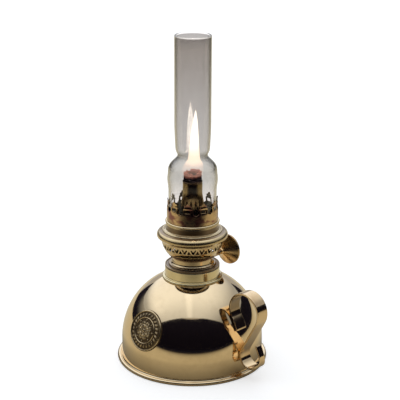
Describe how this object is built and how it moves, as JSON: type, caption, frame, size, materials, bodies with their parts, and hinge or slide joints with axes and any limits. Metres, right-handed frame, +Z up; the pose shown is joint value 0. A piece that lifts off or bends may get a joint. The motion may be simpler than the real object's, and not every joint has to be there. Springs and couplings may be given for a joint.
{
  "type": "kerosene night lamp",
  "caption": "Free-standing brass oil lamp for the night: domed tank with a finger loop, screw-in wick burner with a side knob, lift-off prong gallery and slim pinched glass chimney.",
  "frame": {"origin": "on the tank's axis, in the plane of the foot bead's flat underside, which the lamp stands on", "axes": "+Z up along the tank's axis, -Y towards the badge, +X towards the finger loop, +Y the way the winder's knob points"},
  "size_m": [0.1235, 0.1094, 0.2374],
  "materials": {
    "polished_brass": "polished and lacquered",
    "burner_brass": "polished, pressed sheet",
    "aged_brass": "embossed, dark in the recesses",
    "inner_brass": "dull, heat toned",
    "shaft_metal": "drawn wire",
    "seal": "matte",
    "wick_cotton": "woven cotton, charred at the top",
    "chimney_glass": "clear, blown"
  },
  "bodies": {
    "tank": {"tank_shell": "polished_brass", "tank_base": "polished_brass", "filler_collar": "polished_brass", "badge_plate": "aged_brass", "handle_strap": "polished_brass"},
    "seal": {"seal_washer": "seal"},
    "burner": {"burner_ring": "burner_brass", "burner_floor": "inner_brass", "air_basket": "burner_brass", "wick_tube_outer": "inner_brass", "draught_tube": "inner_brass", "air_port": "inner_brass", "shaft_gland": "burner_brass", "shaft_bearing": "inner_brass"},
    "winder": {"winder_shaft": "shaft_metal", "spiked_wheel_front": "inner_brass", "spiked_wheel_back": "inner_brass", "knob_cone": "polished_brass", "knob_face": "polished_brass"},
    "wick": {"wick": "wick_cotton"},
    "gallery": {"gallery_ring": "polished_brass", "chimney_crown": "burner_brass", "air_deck": "inner_brass"},
    "chimney": {"chimney_glass": "chimney_glass"}
  },
  "joints": [
    {"name": "burner_lift", "type": "slide", "parent": "tank", "child": "seal", "axis": [0, 0, 1], "range_m": [0, 0.0076]},
    {"name": "burner_turn", "type": "hinge", "parent": "seal", "child": "burner", "pos_m": [0, 0, 0.0706], "axis": [0, 0, 1], "range_deg": [0, 1800]},
    {"name": "knob_turn", "type": "hinge", "parent": "burner", "child": "winder", "pos_m": [0.0094, 0.0171, 0.07761], "axis": [0, 1, 0], "range_deg": [-145, 72]},
    {"name": "wick_raise", "type": "slide", "parent": "burner", "child": "wick", "axis": [0, 0, 1], "range_m": [-0.008, 0.004]},
    {"name": "gallery_lift", "type": "slide", "parent": "burner", "child": "gallery", "axis": [0, 0, 1], "range_m": [0, 0.025]},
    {"name": "chimney_lift", "type": "slide", "parent": "gallery", "child": "chimney", "axis": [0, 0, 1], "range_m": [0, 0.03]}
  ],
  "couplings": [
    {"joint": "burner_lift", "follows": "burner_turn", "m_per_rad": 0.00023873},
    {"joint": "wick_raise", "follows": "knob_turn", "m_per_rad": 0.0031}
  ]
}
